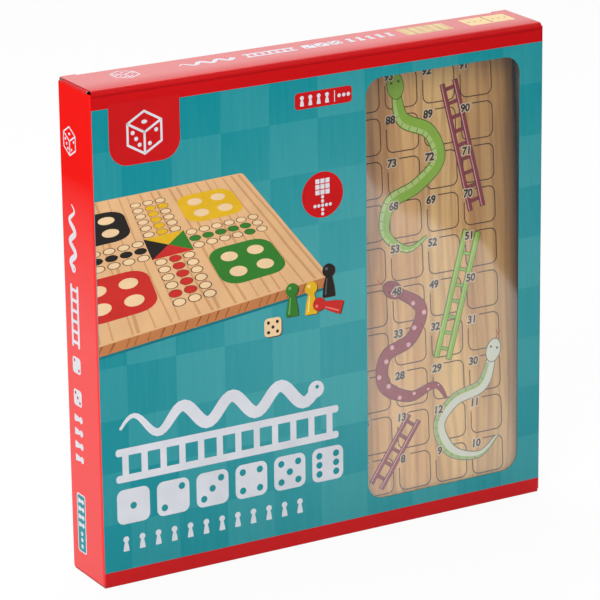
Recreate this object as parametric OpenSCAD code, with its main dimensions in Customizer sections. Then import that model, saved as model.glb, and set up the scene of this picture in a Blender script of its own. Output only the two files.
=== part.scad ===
// Wooden snakes and ladders board in its tuck-top window carton, with pawns and a die.
// The origin is at the middle of the carton's underside. +Z is up and the front faces -Y.

/* [Board] */
// Width of the board
board_w = 295; // [260:1:310]
// Height of the board
board_h = 295; // [260:1:310]
// Thickness of the board
board_t = 12; // [10:0.5:14]
// Radius of the round along the board's edges
board_edge_r = 4.5; // [2:0.5:4.5]
// Radius of the board's corners
board_corner_r = 12; // [8:1:16]
// Number of glued staves
stave_count = 8; // [6:1:10]

/* [Room for the board] */
// Room beside the board, both sides together
side_room = 9; // [6:0.5:20]
// Room between the board and the left panel
board_left_gap = 2; // [1:0.5:5]
// Room above the upright board, up to the top of the carton
head_room = 4.2; // [3.5:0.1:10]
// Gap between the window film and the upright board
board_front_gap = 1; // [0.5:0.1:3]
// Gap between the board and the flaps that it stands on
board_foot_gap = 0.3; // [0.2:0.05:0.5]
// Gap between the leaning board and the tip of the tongue
lean_gap = 0.5; // [0.3:0.1:2]

/* [Carton] */
// Depth of the carton from front to back
carton_d = 40; // [38:0.5:50]
// Thickness of the card
card_t = 0.5; // [0.4:0.05:0.7]
// Outer radius of the upright and bottom folds
fold_r = 1.2; // [1:0.1:1.6]
// Gap between flaps that lie one on the other
flap_gap = 0.2; // [0.1:0.05:0.4]
// Width of the glue flap
glue_flap_w = 14; // [8:1:20]
// Distance from each end of the carton to the glue flap
glue_flap_end = 20; // [18:1:40]

/* [Window] */
// Width of the window
window_w = 108; // [60:1:125]
// Distance from the carton's right side to the window
window_right = 16.5; // [12:0.5:40]
// Distance from the carton's underside to the window
window_bottom = 19; // [12:0.5:60]
// Distance from the carton's top to the window
window_top = 18; // [14:0.5:60]
// Radius of the window's corners
window_r = 11; // [4:1:20]
// Thickness of the clear film
film_t = 0.2; // [0.1:0.05:0.4]
// Width of the film's glued margin around the window
film_margin = 8; // [4:1:9]

/* [Lid] */
// Outer radius of the rolled fold at the front of the lid
lid_fold_r = 2.2; // [1.8:0.1:2.8]
// Gap between the lid's ends and the upright folds
lid_end_gap = 0.2; // [0.1:0.05:0.6]
// Width of the square shoulders beside the tongue
shoulder_w = 10; // [6:1:16]
// Width of the slit between a shoulder and the tongue
slit_w = 0.4; // [0.3:0.1:1]
// Distance from the shoulders to the carton's back face
shoulder_back_gap = 0.2; // [0:0.1:0.6]

/* [Tongue] */
// Length of the tongue below its fold
tongue_len = 15; // [11:0.5:16]
// Outer radius of the tongue's fold
tongue_fold_r = 1.5; // [1.2:0.1:2]
// Gap between the tongue's fold and the back panel
tongue_back_gap = 0.4; // [0.3:0.1:0.8]
// Radius of the tongue's corners
tongue_corner_r = 8; // [3:0.5:10]
// Degrees that the tongue springs open for each degree of the lid
tongue_spring = 0.4; // [0.2:0.05:0.4]

/* [Dust flaps] */
// Reach of a dust flap from the side panel's outer face
dust_len = 34; // [24:1:36]
// Outer radius of a top dust flap's fold
dust_fold_r = 1.5; // [1.2:0.1:1.7]
// Degrees that a dust flap rises for each degree of the lid
dust_lift = 0.5; // [0.3:0.05:0.5]
// Distance from the lid's rolled fold to a top dust flap
dust_front_gap = 1; // [0.5:0.1:3]
// Distance from a top dust flap to the tongue's fold
dust_rear_gap = 2.2; // [2:0.1:5]

/* [Thumb notch] */
// Radius of the thumb notch in the back panel
notch_r = 10; // [7:0.5:12]

/* [Pawns] */
// Diameter of a pawn's foot
pawn_d = 12; // [9:0.5:12.5]
// Height of a pawn
pawn_h = 32; // [26:0.5:36]
// Height of the straight rim of a pawn's foot
pawn_rim_h = 2.4; // [1.5:0.1:4]
// Diameter of a pawn's head
pawn_head_d = 9.5; // [8:0.5:10]
// Diameter of a pawn's neck
pawn_neck_d = 6.4; // [5:0.2:7]
// Gap between pawns in the row
pawn_gap = 1; // [0.5:0.1:1.3]
// Distance from the row of pawns to the back panel
pieces_back_gap = 6; // [2:0.5:7]

/* [Die] */
// Size of the die across its faces
die_w = 14; // [10:0.5:16]
// Diameter of the ball that rounds the die's corners
die_ball_d = 19; // [18:0.1:19.5]
// Diameter of the ball that sinks each pip
pip_d = 2.8; // [1.8:0.1:3]
// Depth of a pip
pip_depth = 0.6; // [0.3:0.1:0.9]
// Distance between pips along a face
pip_pitch = 3.3; // [2.6:0.1:3.4]

/* [Hidden] */
$fn = 96;
// Extra length of a cutter past the face that it cuts
cut = 1;
// Slope added to the dust flaps' front edge beyond what their lift needs
dust_slope_spare = 0.05;
// Degrees that the tongue leans beyond what its swing needs
tongue_lean_spare = 2;

carton_w = board_w + side_room + 2 * card_t;
carton_h = 3 * card_t + board_foot_gap + board_h + head_room;
front_y = -carton_d / 2;
back_y = carton_d / 2;
flat_half = carton_w / 2 - fold_r;

// Levels of the bottom flaps, from the outermost up
inner_flap_z = card_t;
bottom_dust_z = 2 * card_t;
floor_z = 3 * card_t;

// Levels of the top closure
front_top = carton_h - lid_fold_r;
dust_top = carton_h - card_t - flap_gap;
side_top = dust_top - dust_fold_r;
side_bottom = bottom_dust_z + fold_r;

// Lid and tongue
lid_half = flat_half - lid_end_gap;
lid_rear = back_y - card_t - tongue_back_gap - tongue_fold_r;
lid_reach = lid_rear - front_y;
tongue_half = lid_half - shoulder_w - slit_w;
tongue_swing = tongue_len * pow(1 + tongue_spring, 2) / (2 * lid_reach);
tongue_lean = tongue_swing * 180 / PI + tongue_lean_spare;
tongue_arc_y = lid_rear;
tongue_arc_z = carton_h - tongue_fold_r;
tip_in_r = tongue_fold_r - card_t;
tip_y = tongue_arc_y + tip_in_r * cos(tongue_lean) - tongue_len * sin(tongue_lean);
tip_z = tongue_arc_z - tip_in_r * sin(tongue_lean) - tongue_len * cos(tongue_lean);

// The board turns on the middle of its lower edge and leans back onto the tongue
board_x = -carton_w / 2 + card_t + board_left_gap + board_w / 2;
pivot_y = front_y + card_t + film_t + board_front_gap + board_t / 2;
pivot_z = floor_z + board_foot_gap;
tip_from_pivot = [tip_y - pivot_y, tip_z - pivot_z];
lean_at_tip = acos((board_t / 2 + lean_gap) / norm(tip_from_pivot));
board_lean = lean_at_tip - atan2(tip_from_pivot[1], tip_from_pivot[0]);
stave_w = board_w / stave_count;

// Window
window_x = carton_w / 2 - window_right - window_w / 2;
window_h = carton_h - window_top - window_bottom;
window_z = window_bottom + window_h / 2;

// Row of pawns and the die behind the board
colours = ["red", "green", "yellow", "black"];
pawns_each = 4;
pawn_pitch = pawn_d + pawn_gap;
row_len = len(colours) * pawns_each * pawn_pitch + die_w;
row_x = -row_len / 2;
pieces_y = back_y - card_t - pieces_back_gap - pawn_d / 2;
pieces_z = inner_flap_z + card_t;
row_end_gap = 2;
bottom_dust_len = min(dust_len, carton_w / 2 - row_len / 2 - row_end_gap);

stave_names = [for (i = [1:stave_count]) str("board_stave_", i)];
pawn_names = [for (c = colours) for (i = [1:pawns_each]) str("pawn_", c, "_", i)];

// Turns a flat outline drawn in Y and Z into a bar along X
module along_x(length) {
    rotate([90, 0, 90]) linear_extrude(length, center = true) children();
}

// Turns a flat outline drawn in X and Z into a bar along Y
module along_y(length) {
    rotate([90, 0, 0]) linear_extrude(length, center = true) children();
}

// A rectangle with round corners, around the origin
module round_rect(w, h, r) {
    square([w - 2 * r, h], center = true);
    square([w, h - 2 * r], center = true);
    for (x = [-1, 1], y = [-1, 1]) translate([x * (w / 2 - r), y * (h / 2 - r)]) circle(r);
}

// A quarter of a folded strip of card, in the quarter where both numbers are positive
module quarter_fold(r) {
    intersection() {
        difference() {
            circle(r);
            circle(r - card_t);
        }
        square(r);
    }
}

module front_panel() {
    color("teal") difference() {
        translate([-flat_half, front_y, fold_r]) cube([2 * flat_half, card_t, front_top - fold_r]);
        translate([window_x, front_y, window_z])
            along_y(2 * (card_t + cut)) round_rect(window_w, window_h, window_r);
    }
}

module back_panel() {
    bottom = inner_flap_z + fold_r;
    color("teal") difference() {
        translate([-flat_half, back_y - card_t, bottom]) cube([2 * flat_half, card_t, dust_top - bottom]);
        translate([0, back_y, dust_top]) along_y(2 * (card_t + cut)) circle(notch_r);
    }
}

// A side panel with the two upright folds that join it to the front and the back
module side_panel(side) {
    straight = carton_d / 2 - fold_r;
    color("firebrick") translate([0, 0, side_bottom]) linear_extrude(side_top - side_bottom) {
        translate([side * (carton_w - card_t) / 2, 0]) square([card_t, 2 * straight], center = true);
        for (end = [-1, 1])
            translate([side * flat_half, end * straight])
                scale([side, end]) quarter_fold(fold_r);
    }
}

module left_panel() {
    side_panel(-1);
}

module right_panel() {
    side_panel(1);
}

module glue_flap() {
    color("lightgray") translate([-carton_w / 2 + card_t, back_y - fold_r - glue_flap_w, glue_flap_end])
        cube([card_t, glue_flap_w, carton_h - 2 * glue_flap_end]);
}

module window_film() {
    color("lightcyan", 0.4) translate([window_x, front_y + card_t + film_t / 2, window_z])
        cube([window_w + 2 * film_margin, film_t, window_h + 2 * film_margin], center = true);
}

// The outer bottom flap, rolled under from the front panel
module bottom_outer_flap() {
    color("firebrick") {
        translate([-flat_half, front_y + fold_r, 0]) cube([2 * flat_half, carton_d - fold_r, card_t]);
        translate([0, front_y + fold_r, fold_r]) along_x(2 * flat_half) rotate(180) quarter_fold(fold_r);
    }
}

// The inner bottom flap, rolled under from the back panel
module bottom_inner_flap() {
    reach = carton_d - 2 * fold_r - flap_gap;
    color("lightgray") translate([0, back_y - fold_r, inner_flap_z]) {
        translate([-flat_half, -reach, 0]) cube([2 * flat_half, reach, card_t]);
        translate([0, 0, fold_r]) along_x(2 * flat_half) rotate(270) quarter_fold(fold_r);
    }
}

module bottom_dust_flap(side) {
    depth = carton_d - 2 * fold_r - 2 * flap_gap;
    color("lightgray") translate([side * (carton_w / 2 - fold_r), 0, bottom_dust_z]) scale([side, 1, 1]) {
        translate([fold_r - bottom_dust_len, -depth / 2, 0])
            cube([bottom_dust_len - fold_r, depth, card_t]);
        translate([0, 0, fold_r]) along_y(depth) rotate(270) quarter_fold(fold_r);
    }
}

module bottom_left_dust_flap() {
    bottom_dust_flap(-1);
}

module bottom_right_dust_flap() {
    bottom_dust_flap(1);
}

// The lid: the rolled front fold, the flat top and the two shoulders
module top_lid() {
    roll_y = front_y + lid_fold_r;
    shoulder_y = back_y - shoulder_back_gap;
    color("indianred") {
        translate([0, roll_y, front_top]) along_x(2 * lid_half) rotate(90) quarter_fold(lid_fold_r);
        translate([0, 0, carton_h - card_t]) linear_extrude(card_t) {
            translate([-lid_half, roll_y]) square([2 * lid_half, lid_rear - roll_y]);
            for (end = [-1, 1])
                translate([end * (lid_half - shoulder_w / 2) - shoulder_w / 2, roll_y])
                    square([shoulder_w, shoulder_y - roll_y]);
        }
    }
}

// The tongue's fold, which bends past a right angle, and the flat tongue below it
module top_tongue() {
    reach = 2 * tongue_fold_r;
    color("lightgray") translate([0, tongue_arc_y, tongue_arc_z]) rotate([-tongue_lean, 0, 0]) {
        along_x(2 * tongue_half) intersection() {
            difference() {
                circle(tongue_fold_r);
                circle(tongue_fold_r - card_t);
            }
            polygon([[0, 0], [reach, 0], [reach, reach], [-reach * tan(tongue_lean), reach]]);
        }
        translate([0, tongue_fold_r, 0]) rotate([90, 0, 0]) linear_extrude(card_t) intersection() {
            round_rect(2 * tongue_half, 2 * tongue_len, tongue_corner_r);
            translate([-tongue_half, -tongue_len]) square([2 * tongue_half, tongue_len]);
        }
    }
}

// A top dust flap, whose front edge slopes so that it rises clear of the opening lid
module top_dust_flap(side) {
    slope = dust_lift + dust_slope_spare;
    root_y = front_y + lid_fold_r + dust_front_gap;
    rear_y = lid_rear - dust_rear_gap;
    fold_y = root_y + slope * dust_fold_r;
    color("lightgray") translate([side * carton_w / 2, 0, side_top]) scale([-side, 1, 1]) {
        translate([0, 0, dust_fold_r - card_t]) linear_extrude(card_t)
            polygon([
                [dust_fold_r, fold_y],
                [dust_len, root_y + slope * dust_len],
                [dust_len, rear_y],
                [dust_fold_r, rear_y]
            ]);
        translate([dust_fold_r, (fold_y + rear_y) / 2, 0])
            along_y(rear_y - fold_y) rotate(90) quarter_fold(dust_fold_r);
    }
}

module top_left_dust_flap() {
    top_dust_flap(-1);
}

module top_right_dust_flap() {
    top_dust_flap(1);
}

// The board's own frame, leaning back from the middle of its lower edge
module in_board() {
    translate([board_x, pivot_y, pivot_z]) rotate([-board_lean, 0, 0]) children();
}

// The strip along the outer side of an end stave, seen from above and as wide as two corner radii
module edge_profile() {
    round_rect(2 * board_corner_r, board_t, board_edge_r);
}

// Half of the edge profile, on the positive side
module half_edge_profile() {
    intersection() {
        edge_profile();
        translate([0, -board_t]) square([2 * board_corner_r, 2 * board_t]);
    }
}

// A stave between two others: rounded at its top and bottom ends only
module inner_stave(left, width) {
    translate([left, 0, board_h / 2]) rotate([90, 0, 90])
        linear_extrude(width) round_rect(board_t, board_h, board_edge_r);
}

// The first or last stave, rounded along its outer side and at its two corners too
module end_stave(side) {
    outer = side * (board_w / 2 - board_corner_r);
    inner = side * (board_w / 2 - stave_w);
    inner_stave(min(outer, inner), stave_w - board_corner_r);
    translate([outer, 0, board_corner_r]) linear_extrude(board_h - 2 * board_corner_r) edge_profile();
    for (end = [0, 1])
        translate([outer, 0, end == 0 ? board_corner_r : board_h - board_corner_r])
            scale([side, 1, end == 0 ? -1 : 1])
                rotate([90, 0, 0]) rotate_extrude(angle = 90) half_edge_profile();
}

module board_stave(i) {
    color(i % 2 == 0 ? "burlywood" : "tan") in_board()
        if (i == 0) end_stave(-1);
        else if (i == stave_count - 1) end_stave(1);
        else inner_stave(-board_w / 2 + i * stave_w, stave_w);
}

// A turned pawn: a foot with a straight rim, a tapered body and a ball head
module pawn(i) {
    head_z = pawn_h - pawn_head_d / 2;
    shoulder_z = head_z - pawn_head_d / 4;
    rim_round = pawn_rim_h / 3;
    color(colours[floor(i / pawns_each)])
        translate([row_x + pawn_d / 2 + i * pawn_pitch, pieces_y, pieces_z]) rotate_extrude() {
            polygon([
                [0, 0],
                [pawn_d / 2 - rim_round, 0],
                [pawn_d / 2, rim_round],
                [pawn_d / 2, pawn_rim_h],
                [pawn_d / 2 - rim_round, pawn_rim_h + rim_round],
                [pawn_neck_d / 2, shoulder_z],
                [0, shoulder_z]
            ]);
            intersection() {
                translate([0, head_z]) circle(pawn_head_d / 2);
                square([pawn_head_d, pawn_h]);
            }
        }
}

// Where the pips of each face stand, as steps from the middle of the face
function pips(n) = concat(
    n % 2 == 1 ? [[0, 0]] : [],
    n > 1 ? [[-1, -1], [1, 1]] : [],
    n > 3 ? [[-1, 1], [1, -1]] : [],
    n > 5 ? [[-1, 0], [1, 0]] : []);

// Turns that bring each face of the die to the top, for one to six pips
face_turns = [[0, 0, 0], [90, 0, 0], [0, 90, 0], [0, -90, 0], [-90, 0, 0], [180, 0, 0]];

module die() {
    pip_z = die_w / 2 + pip_d / 2 - pip_depth;
    color("wheat") translate([row_x + row_len - die_w / 2, pieces_y, pieces_z + die_w / 2]) difference() {
        intersection() {
            cube(die_w, center = true);
            sphere(d = die_ball_d);
        }
        for (n = [1:6], p = pips(n))
            rotate(face_turns[n - 1])
                translate([p[0] * pip_pitch, p[1] * pip_pitch, pip_z]) sphere(d = pip_d);
    }
}

front_panel();
back_panel();
left_panel();
right_panel();
glue_flap();
window_film();
bottom_outer_flap();
bottom_inner_flap();
bottom_left_dust_flap();
bottom_right_dust_flap();
top_lid();
top_tongue();
top_left_dust_flap();
top_right_dust_flap();
for (i = [0:stave_count - 1]) board_stave(i);
for (i = [0:len(pawn_names) - 1]) pawn(i);
die();
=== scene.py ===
import math
import random

import bmesh
import bpy
from mathutils import Matrix, Vector


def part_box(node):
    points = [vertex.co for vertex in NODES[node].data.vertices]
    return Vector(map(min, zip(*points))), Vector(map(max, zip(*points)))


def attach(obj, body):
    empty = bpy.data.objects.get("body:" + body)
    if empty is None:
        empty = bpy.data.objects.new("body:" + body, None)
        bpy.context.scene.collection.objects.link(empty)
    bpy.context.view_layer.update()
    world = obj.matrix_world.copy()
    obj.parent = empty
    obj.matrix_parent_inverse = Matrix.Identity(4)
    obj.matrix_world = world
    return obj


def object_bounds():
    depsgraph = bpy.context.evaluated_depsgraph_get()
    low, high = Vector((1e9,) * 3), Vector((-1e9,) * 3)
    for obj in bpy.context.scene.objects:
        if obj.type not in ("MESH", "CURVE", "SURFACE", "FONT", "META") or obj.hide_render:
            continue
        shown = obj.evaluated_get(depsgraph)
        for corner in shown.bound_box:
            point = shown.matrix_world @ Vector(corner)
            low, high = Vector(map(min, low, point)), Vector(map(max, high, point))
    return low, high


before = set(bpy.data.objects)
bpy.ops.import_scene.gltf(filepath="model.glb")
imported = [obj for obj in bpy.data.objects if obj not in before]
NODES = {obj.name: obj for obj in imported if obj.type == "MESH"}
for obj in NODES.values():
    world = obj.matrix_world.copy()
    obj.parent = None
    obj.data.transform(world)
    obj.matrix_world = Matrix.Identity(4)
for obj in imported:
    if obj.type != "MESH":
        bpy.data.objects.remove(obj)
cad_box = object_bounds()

MM = 0.001
SCENE = bpy.context.scene
SCENE.view_settings.view_transform = "Standard"
rng = random.Random(11)

# The carton's outer faces and the board's two sides, in millimetres
LEFT, FRONT, _ = (c / MM for c in cad_box[0])
RIGHT, BACK, TOP = (c / MM for c in cad_box[1])
BOARD_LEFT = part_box("board_stave_1")[0].x / MM
BOARD_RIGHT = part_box("board_stave_8")[1].x / MM
BOARD = BOARD_RIGHT - BOARD_LEFT

ALONG_X, ALONG_Y, UP = Vector((1, 0, 0)), Vector((0, 1, 0)), Vector((0, 0, 1))

# Camera, fitted to the carton's outline: degrees, pixels, and a shift in widths of the carton
AZIMUTH, ELEVATION, ROLL = -29.768, 17.966, -0.7045
FOCAL_PX = 3603.3
IMAGE_PX = 600
SENSOR_W = 36
CAMERA_SHIFT = Vector((0.0245396, -0.4572689, -7.2098602)) * (RIGHT - LEFT) * MM


def make_camera():
    azimuth, elevation, roll = (math.radians(a) for a in (AZIMUTH, ELEVATION, ROLL))
    level = math.cos(elevation)
    back = Vector((math.sin(azimuth) * level, -math.cos(azimuth) * level, math.sin(elevation)))
    right = (-back).cross(UP).normalized()
    up = right.cross(-back)
    c, s = math.cos(roll), math.sin(roll)
    turn = Matrix((c * right + s * up, -s * right + c * up, back)).transposed()
    data = bpy.data.cameras.new("camera")
    data.sensor_width = SENSOR_W
    data.lens = FOCAL_PX / IMAGE_PX * SENSOR_W
    data.clip_end = 20
    camera = bpy.data.objects.new("camera", data)
    SCENE.collection.objects.link(camera)
    camera.matrix_world = Matrix.Translation(-(turn @ CAMERA_SHIFT)) @ turn.to_4x4()
    SCENE.camera = camera


def rgb(r, g, b):
    """A colour written in screen values from 0 to 255, as the linear colour that a shader takes."""
    def linear(c):
        c /= 255
        return c / 12.92 if c <= 0.04045 else ((c + 0.055) / 1.055) ** 2.4
    return (linear(r), linear(g), linear(b), 1)


def darker(colour, share):
    return tuple(c * share for c in colour[:3]) + (1,)


class Tree:
    """The nodes of a material or a world, added by short calls."""

    def __init__(self, owner):
        owner.use_nodes = True
        self.tree = owner.node_tree
        self.tree.nodes.clear()

    def add(self, kind, inputs=None, **props):
        node = self.tree.nodes.new(kind)
        for key, value in props.items():
            setattr(node, key, value)
        for key, value in (inputs or {}).items():
            self.put(node.inputs[key], value)
        return node

    def put(self, socket, value):
        if isinstance(value, bpy.types.NodeSocket):
            self.tree.links.new(value, socket)
        else:
            socket.default_value = value

    def math(self, op, a, b=0.0):
        return self.add("ShaderNodeMath", {0: a, 1: b}, operation=op).outputs[0]

    def split(self, vector):
        return self.add("ShaderNodeSeparateXYZ", {0: vector}).outputs

    def remap(self, value, low, high, to_low=0.0, to_high=1.0, smooth=False):
        node = self.add("ShaderNodeMapRange", {0: value, 1: low, 2: high, 3: to_low, 4: to_high})
        if smooth:
            node.interpolation_type = "SMOOTHSTEP"
        return node.outputs[0]


class Graph(Tree):
    """A material with one principled shader, painted by place and direction."""

    def __init__(self, name):
        self.material = bpy.data.materials.new(name)
        super().__init__(self.material)
        out = self.add("ShaderNodeOutputMaterial")
        self.shader = self.add("ShaderNodeBsdfPrincipled")
        self.put(out.inputs[0], self.shader.outputs[0])
        where = self.add("ShaderNodeTexCoord")
        self.pos, self.normal = where.outputs["Object"], where.outputs["Normal"]

    def set(self, **sockets):
        for key, value in sockets.items():
            self.put(self.shader.inputs[key.replace("_", " ")], value)

    def vector(self, op, a, b, c=None):
        node = self.add("ShaderNodeVectorMath", {0: a, 1: b}, operation=op)
        if c is not None:
            self.put(node.inputs[2], c)
        return node.outputs["Value" if op in ("DOT_PRODUCT", "DISTANCE") else "Vector"]

    def mix(self, factor, a, b):
        return self.add("ShaderNodeMix", {0: factor, 6: a, 7: b}, data_type="RGBA").outputs[2]

    def sum(self, a, share_a, b, share_b):
        return self.math("ADD", self.math("MULTIPLY", a, share_a), self.math("MULTIPLY", b, share_b))

    def noise(self, scale, stretch=(1, 1, 1), detail=3.0, shift=(0, 0, 0)):
        at = self.vector("MULTIPLY_ADD", self.pos, tuple(scale * s for s in stretch), shift)
        return self.add("ShaderNodeTexNoise", {"Vector": at, "Scale": 1.0, "Detail": detail}).outputs[0]

    def ramp(self, value, stops):
        node = self.add("ShaderNodeValToRGB", {0: value})
        points = node.color_ramp.elements
        for point, (place, colour) in zip(points, stops):
            point.position = place
            point.color = colour
        return node.outputs[0]

    def bump(self, height, strength, distance):
        node = self.add("ShaderNodeBump", {"Height": height, "Strength": strength, "Distance": distance})
        self.put(self.shader.inputs["Normal"], node.outputs[0])


# Colours of the print and the card
RED = rgb(197, 8, 14)
RED_DEEP = rgb(180, 4, 12)
# Painted light: the side panels take a lighter copy of the red print
SIDE_LIT_RED = rgb(230, 30, 26)
SIDE_LIT_RED_DEEP = rgb(216, 20, 18)
# Painted shade for the crease under the lid's fold
CREASE_SHADE_RED = rgb(138, 4, 10)
TEAL_DARK = rgb(6, 132, 142)
TEAL_LIGHT = rgb(72, 160, 164)
WHITE_INK = rgb(216, 218, 225)
CARD_PALE = rgb(166, 158, 146)
CARD_GREY = rgb(140, 132, 120)

# How far the print runs: over cut edges too, or on the outer face alone
OVER_EDGES, FACE_ONLY = -0.3, 0.3


def card_material(name, face, paint, gloss=0.08, sheen=0.15, edge=OVER_EDGES, fade=None, gain=(0, 0, 0)):
    """Folding card: varnished print on the outside and pale grey fibre on the inside.

    face + gain * position points outwards, so the surface normal tells the two sides apart.
    fade gives the share of the gloss at each place."""
    g = Graph(name)
    aim = g.vector("MULTIPLY_ADD", g.pos, gain, face)
    outside = g.math("GREATER_THAN", g.vector("DOT_PRODUCT", g.normal, aim), edge)
    fibre = g.noise(900, detail=4)
    flecks = g.noise(260, detail=2, shift=(3, 1, 7))
    plain = g.ramp(g.math("MULTIPLY", fibre, flecks), [(0.12, CARD_GREY), (0.36, CARD_PALE)])
    rough = g.math("ADD", g.remap(outside, 0, 1, 0.78, 0.42), g.remap(fibre, 0.3, 0.7, 0, 0.08))
    share = g.math("MULTIPLY", outside, fade(g)) if fade else outside
    g.set(Base_Color=g.mix(outside, plain, paint(g)), Roughness=rough, Coat_Roughness=0.22)
    g.set(Coat_Weight=g.math("MULTIPLY", share, gloss), Specular_IOR_Level=g.math("MULTIPLY", share, sheen))
    waves = g.noise(14, detail=1)
    g.bump(g.sum(waves, 1.0, fibre, 0.012), 0.35, 0.0012)
    return g.material


def speckled(g, colour, other):
    """A print colour with the slow drift and fine grain of a press sheet."""
    drift = g.noise(9, detail=2, shift=(5, 5, 5))
    grain = g.noise(1400, detail=1)
    return g.mix(g.remap(g.sum(drift, 0.7, grain, 0.3), 0.3, 0.7, 0, 0.5), colour, other)


# The check's size and a corner of it, the red bands' edges and the painted shade in the crease under the
# lid's fold, in metres
CHECK = 0.0322
CHECK_X, CHECK_Z = -0.1014, 0.0068
# The middle of the painted glare on the check
GLARE_MIDDLE = (0.04, 0, 0.13)
BAND_LOW, BAND_HIGH = 0.0095, (TOP - 11.5) * MM
CREASE_SHADE_AT, CREASE_SHADE_HALF = (TOP - 3.8) * MM, 0.0005


def teal_check(g):
    at = g.vector("MULTIPLY_ADD", g.pos, (1 / CHECK,) * 3, (-CHECK_X / CHECK, 0, -CHECK_Z / CHECK))
    cell = g.vector("FLOOR", at, (0, 0, 0))
    x, _, z = g.split(cell)
    odd = g.math("PINGPONG", g.math("ADD", x, z), 1.0)
    flat = g.vector("MULTIPLY", cell, (1, 0, 1))
    tone = g.add("ShaderNodeTexWhiteNoise", {"Vector": flat}, noise_dimensions="3D").outputs["Value"]
    far = g.vector("DISTANCE", g.vector("MULTIPLY", g.pos, (1, 0, 1)), GLARE_MIDDLE)
    # Painted glare: the teal is lighter round a point a little below the middle of the panel, and darker far
    # from it
    painted_glare = g.remap(far, 0.02, 0.23, 0.62, -0.12, smooth=True)
    threads = g.noise(420, stretch=(1, 1, 0.08), detail=2)
    lightness = g.math("ADD", g.sum(odd, 0.30, tone, 0.12), painted_glare)
    lightness = g.math("ADD", lightness, g.remap(threads, 0.3, 0.7, -0.07, 0.07))
    teal = g.mix(g.remap(lightness, 0.0, 1.15), TEAL_DARK, TEAL_LIGHT)
    height = g.split(g.pos)[2]
    band = g.math("ADD", g.math("LESS_THAN", height, BAND_LOW), g.math("GREATER_THAN", height, BAND_HIGH))
    # Painted shade: a thin darker line in the crease under the lid's fold
    crease_shade = g.math("LESS_THAN", g.math("ABSOLUTE", g.math("SUBTRACT", height, CREASE_SHADE_AT)), CREASE_SHADE_HALF)
    red = g.mix(g.math("MULTIPLY", crease_shade, 0.6), red_print(g), CREASE_SHADE_RED)
    return g.mix(band, teal, red)


def red_print(g):
    return speckled(g, RED, RED_DEEP)


def gloss_along(axis, low, high, at_low, at_high):
    """A share of gloss that changes along an axis: 0 is x, 1 is y and 2 is z."""
    return lambda g: g.remap(g.split(g.pos)[axis], low, high, at_low, at_high)


# How far the upright folds have turned, as the y of their direction, where a side's red ends
LEFT_RED_END, RIGHT_RED_END = 0.96, 0.6


def side_print(g, red_end):
    facing = g.math("ABSOLUTE", g.split(g.normal)[1])
    # Painted light: the sides' red is a lighter copy of the front's red print
    return g.mix(g.math("GREATER_THAN", facing, red_end), speckled(g, SIDE_LIT_RED, SIDE_LIT_RED_DEEP), teal_check(g))


def left_print(g):
    return side_print(g, LEFT_RED_END)


def right_print(g):
    return side_print(g, RIGHT_RED_END)


# Where the red on the dust flaps ends
BLEED = (RIGHT - 16.5) * MM


def bleed_print(g):
    """The red of a side panel, which runs a short way past the fold and ends on bare card."""
    reach = g.math("ABSOLUTE", g.split(g.pos)[0])
    fibre = g.noise(700, detail=3, shift=(1, 2, 3))
    bare = g.mix(fibre, CARD_GREY, CARD_PALE)
    return g.mix(g.math("GREATER_THAN", reach, BLEED), bare, red_print(g))


def ink_material(name, colour):
    """Printing ink on card or wood: slow and fine changes of density, under the same varnish."""
    g = Graph(name)
    drift = g.noise(60, detail=3)
    grain = g.noise(1600, detail=1, shift=(2, 4, 6))
    density = g.remap(g.sum(drift, 0.6, grain, 0.4), 0.32, 0.68)
    g.set(Base_Color=g.mix(density, colour, darker(colour, 0.86)))
    g.set(Roughness=g.remap(grain, 0.3, 0.7, 0.38, 0.50), Specular_IOR_Level=0.15)
    g.bump(grain, 0.15, 0.00004)
    return g.material


# Pine: its colours, and how far in from the board's sides the painted shade along them begins and ends
PINE_PALE, PINE_TAN, PINE_DARK = rgb(228, 188, 124), rgb(206, 155, 91), rgb(156, 100, 52)
BOARD_MIDDLE = (BOARD_LEFT + BOARD_RIGHT) / 2 * MM
SHADE_FROM, SHADE_TO = (BOARD / 2 - 14) * MM, (BOARD / 2 - 2) * MM


def pine_material(name, tone, seed):
    """Planed pine with upright grain: broad tone changes, growth lines and fine fibres, with painted shade
    towards its sides and foot.
    """
    g = Graph(name)
    shift = (seed * 3.1, seed * 1.7, seed * 2.3)
    x, _, height = g.split(g.pos)
    sway = g.noise(7, stretch=(1, 1, 0.35), detail=2, shift=shift)
    lines = g.math("PINGPONG", g.math("ADD", g.sum(x, 260.0, sway, 16.0), seed * 0.37), 1.0)
    late = g.remap(lines, 0.55, 1.0, smooth=True)
    streaks = g.noise(230, stretch=(1, 1, 0.03), detail=4, shift=shift)
    broad = g.noise(46, stretch=(1, 1, 0.08), detail=2, shift=shift)
    pale, tan, dark = (tuple(a * b for a, b in zip(c, tone)) + (1,) for c in (PINE_PALE, PINE_TAN, PINE_DARK))
    colour = g.mix(g.remap(broad, 0.35, 0.68), pale, tan)
    colour = g.mix(g.math("MULTIPLY", late, 0.34), colour, dark)
    colour = g.mix(g.remap(streaks, 0.48, 0.72, 0, 0.55), colour, dark)
    ends = g.math("GREATER_THAN", g.math("ABSOLUTE", g.split(g.normal)[2]), 0.75)
    colour = g.mix(g.math("MULTIPLY", ends, 0.35), colour, dark)
    # Painted shade: the board is darker towards its sides and its foot
    away = g.math("ABSOLUTE", g.math("SUBTRACT", x, BOARD_MIDDLE))
    foot = g.remap(height, 0.003, 0.012, 0.45, 0.0, smooth=True)
    edge = g.math("MAXIMUM", g.remap(away, SHADE_FROM, SHADE_TO, 0.0, 0.82, smooth=True), foot)
    colour = g.mix(edge, colour, darker(dark, 0.42))
    g.set(Base_Color=colour, Roughness=g.remap(streaks, 0.3, 0.7, 0.42, 0.58))
    g.bump(g.math("ADD", g.math("MULTIPLY", late, 0.4), streaks), 0.25, 0.00012)
    return g.material


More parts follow.
